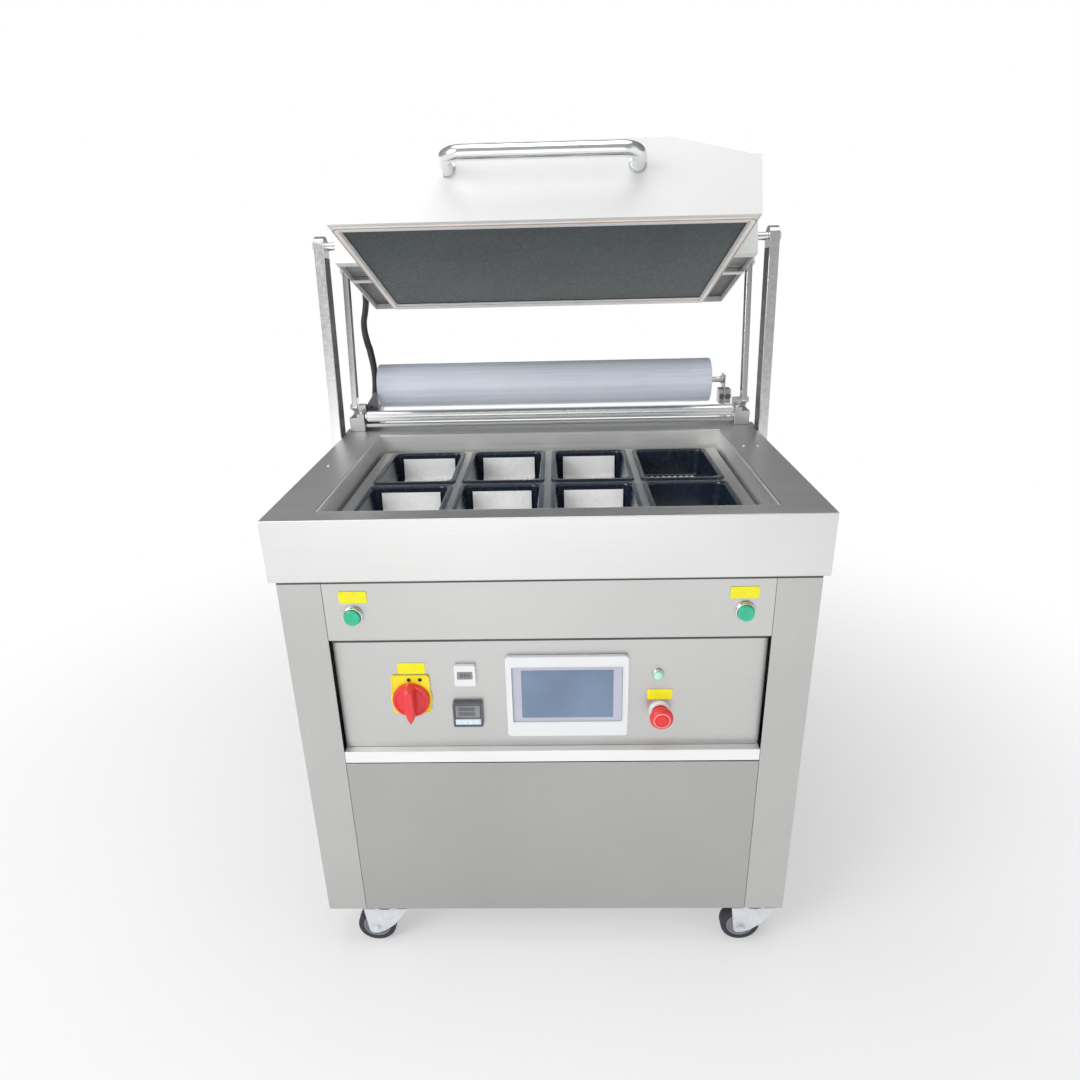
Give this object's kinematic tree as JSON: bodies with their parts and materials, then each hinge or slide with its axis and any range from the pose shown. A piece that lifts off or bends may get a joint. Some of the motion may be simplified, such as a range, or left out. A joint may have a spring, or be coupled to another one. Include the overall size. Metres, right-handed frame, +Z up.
{
  "type": "vacuum packing machine",
  "caption": "Steel cabinet on casters with a tray mould in a vacuum tub, a heated lid on swing arms, a film roll behind and a front control panel.",
  "frame": {"origin": "on the floor, under the middle of the machine's bounding box with the lid open", "axes": "+X to the machine's right seen from the front, +Y from the front to the back, +Z up"},
  "size_m": [0.932, 0.8906, 1.4545],
  "materials": {
    "brushed_steel": "satin brushed",
    "bright_steel": "polished",
    "white_steel": "bead blasted satin",
    "heater": "dark non-stick coating",
    "silicone": "matte",
    "black_plastic": "moulded",
    "tray_plastic": "thermoformed",
    "film": "clear film wound on a core",
    "yellow_plastic": "moulded",
    "red_plastic": "moulded",
    "green_plastic": "moulded",
    "pale_plastic": "moulded",
    "screen": "glass-fronted display",
    "tyre": "grey-black rubber",
    "pump_paint": "painted casting"
  },
  "bodies": {
    "root": {"worktop_rim": "brushed_steel", "tub": "brushed_steel", "side_shell_left": "brushed_steel", "side_shell_right": "brushed_steel", "rear_panel": "brushed_steel", "base_pan": "brushed_steel", "upper_fascia": "brushed_steel", "control_panel": "brushed_steel", "panel_ledge": "bright_steel", "lower_front_panel": "brushed_steel", "vacuum_pump": "pump_paint", "hmi_bezel": "pale_plastic", "hmi_screen": "screen", "switch_plate": "yellow_plastic", "vacuum_meter": "pale_plastic", "temperature_controller": "black_plastic", "rear_bracket_left": "brushed_steel", "rear_bracket_right": "brushed_steel", "end_block_left": "brushed_steel", "end_block_right": "brushed_steel", "roll_cradle_left": "brushed_steel", "roll_cradle_right": "brushed_steel", "lower_bar": "brushed_steel"},
    "arms": {"cross_shaft": "brushed_steel", "swing_arm_left": "bright_steel", "swing_arm_right": "bright_steel", "conduit_boot": "black_plastic", "conduit": "black_plastic"},
    "lid": {"lid_hood": "white_steel", "lid_frame": "white_steel", "heater_plate": "heater", "lid_gasket": "silicone", "lid_handle": "bright_steel", "conduit_elbow": "black_plastic"},
    "link_left": {"link_left": "bright_steel"},
    "link_right": {"link_right": "bright_steel"},
    "film": {"film_roll": "film", "roll_spindle": "brushed_steel"},
    "guide": {"guide_roller": "bright_steel"},
    "switch": {"switch_knob": "red_plastic"},
    "estop": {"estop_head": "red_plastic"},
    "button_left": {"button_cap_left": "green_plastic"},
    "button_right": {"button_cap_right": "green_plastic"},
    "mould": {"mould_frame": "brushed_steel"},
    "tray_1": {"tray_1": "tray_plastic"},
    "tray_2": {"tray_2": "tray_plastic"},
    "tray_3": {"tray_3": "tray_plastic"},
    "tray_4": {"tray_4": "tray_plastic"},
    "tray_5": {"tray_5": "tray_plastic"},
    "tray_6": {"tray_6": "tray_plastic"},
    "tray_7": {"tray_7": "tray_plastic"},
    "tray_8": {"tray_8": "tray_plastic"},
    "fork_front_left": {"caster_fork_front_left": "bright_steel"},
    "wheel_front_left": {"caster_wheel_front_left": "tyre"},
    "fork_front_right": {"caster_fork_front_right": "bright_steel"},
    "wheel_front_right": {"caster_wheel_front_right": "tyre"},
    "fork_rear_left": {"caster_fork_rear_left": "bright_steel"},
    "wheel_rear_left": {"caster_wheel_rear_left": "tyre"},
    "fork_rear_right": {"caster_fork_rear_right": "bright_steel"},
    "wheel_rear_right": {"caster_wheel_rear_right": "tyre"}
  },
  "joints": [
    {"name": "lid_swing", "type": "hinge", "parent": "root", "child": "arms", "pos_m": [0, 0.2097, 0.87344], "axis": [1, 0, 0], "range_deg": [0, 67.44]},
    {"name": "lid_pivot", "type": "hinge", "parent": "arms", "child": "lid", "pos_m": [0, 0.13187, 1.29037], "axis": [1, 0, 0], "range_deg": [-47.36, 0], "deforming": ["conduit"]},
    {"name": "link_left_turn", "type": "hinge", "parent": "root", "child": "link_left", "pos_m": [0, 0.1467, 0.959], "axis": [1, 0, 0], "range_deg": [0, 103.91]},
    {"name": "link_right_turn", "type": "hinge", "parent": "root", "child": "link_right", "pos_m": [0, 0.1467, 0.959], "axis": [1, 0, 0], "range_deg": [0, 103.91]},
    {"name": "film_roll_spin", "type": "hinge", "parent": "root", "child": "film", "pos_m": [0, 0.2147, 0.991], "axis": [1, 0, 0], "continuous": true},
    {"name": "guide_roller_spin", "type": "hinge", "parent": "root", "child": "guide", "pos_m": [0, 0.1247, 0.942], "axis": [1, 0, 0], "continuous": true},
    {"name": "main_switch_turn", "type": "hinge", "parent": "root", "child": "switch", "pos_m": [-0.238, -0.4353, 0.569], "axis": [0, 1, 0], "range_deg": [0, 90]},
    {"name": "estop_push", "type": "slide", "parent": "root", "child": "estop", "axis": [0, 1, 0], "range_m": [0, 0.005], "stiffness_N_per_m": 800, "springref_m": -0.004},
    {"name": "button_left_push", "type": "slide", "parent": "root", "child": "button_left", "axis": [0, 1, 0], "range_m": [0, 0.004], "stiffness_N_per_m": 500, "springref_m": -0.003},
    {"name": "button_right_push", "type": "slide", "parent": "root", "child": "button_right", "axis": [0, 1, 0], "range_m": [0, 0.004], "stiffness_N_per_m": 500, "springref_m": -0.003},
    {"name": "mould_lift", "type": "slide", "parent": "root", "child": "mould", "axis": [0, 0, -1], "range_m": [-0.16, 0]},
    {"name": "tray_1_lift", "type": "slide", "parent": "mould", "child": "tray_1", "axis": [0, 0, -1], "range_m": [-0.08, 0]},
    {"name": "tray_2_lift", "type": "slide", "parent": "mould", "child": "tray_2", "axis": [0, 0, -1], "range_m": [-0.08, 0]},
    {"name": "tray_3_lift", "type": "slide", "parent": "mould", "child": "tray_3", "axis": [0, 0, -1], "range_m": [-0.08, 0]},
    {"name": "tray_4_lift", "type": "slide", "parent": "mould", "child": "tray_4", "axis": [0, 0, -1], "range_m": [-0.08, 0]},
    {"name": "tray_5_lift", "type": "slide", "parent": "mould", "child": "tray_5", "axis": [0, 0, -1], "range_m": [-0.08, 0]},
    {"name": "tray_6_lift", "type": "slide", "parent": "mould", "child": "tray_6", "axis": [0, 0, -1], "range_m": [-0.08, 0]},
    {"name": "tray_7_lift", "type": "slide", "parent": "mould", "child": "tray_7", "axis": [0, 0, -1], "range_m": [-0.08, 0]},
    {"name": "tray_8_lift", "type": "slide", "parent": "mould", "child": "tray_8", "axis": [0, 0, -1], "range_m": [-0.08, 0]},
    {"name": "caster_front_left_swivel", "type": "hinge", "parent": "root", "child": "fork_front_left", "pos_m": [-0.331, -0.3963, 0.09], "axis": [0, 0, 1], "continuous": true},
    {"name": "caster_front_left_roll", "type": "hinge", "parent": "fork_front_left", "child": "wheel_front_left", "pos_m": [-0.353, -0.3963, 0.0375], "axis": [0, 1, 0], "continuous": true},
    {"name": "caster_front_right_swivel", "type": "hinge", "parent": "root", "child": "fork_front_right", "pos_m": [0.386, -0.3963, 0.09], "axis": [0, 0, 1], "continuous": true},
    {"name": "caster_front_right_roll", "type": "hinge", "parent": "fork_front_right", "child": "wheel_front_right", "pos_m": [0.364, -0.3963, 0.0375], "axis": [0, 1, 0], "continuous": true},
    {"name": "caster_rear_left_swivel", "type": "hinge", "parent": "root", "child": "fork_rear_left", "pos_m": [-0.331, 0.1007, 0.09], "axis": [0, 0, 1], "continuous": true},
    {"name": "caster_rear_left_roll", "type": "hinge", "parent": "fork_rear_left", "child": "wheel_rear_left", "pos_m": [-0.353, 0.1007, 0.0375], "axis": [0, 1, 0], "continuous": true},
    {"name": "caster_rear_right_swivel", "type": "hinge", "parent": "root", "child": "fork_rear_right", "pos_m": [0.386, 0.1007, 0.09], "axis": [0, 0, 1], "continuous": true},
    {"name": "caster_rear_right_roll", "type": "hinge", "parent": "fork_rear_right", "child": "wheel_rear_right", "pos_m": [0.364, 0.1007, 0.0375], "axis": [0, 1, 0], "continuous": true}
  ],
  "couplings": [
    {"joint": "lid_pivot", "follows": "lid_swing", "ratio": -0.69932},
    {"joint": "link_left_turn", "follows": "lid_swing", "ratio": 1.5377},
    {"joint": "link_right_turn", "follows": "lid_swing", "ratio": 1.5377}
  ]
}
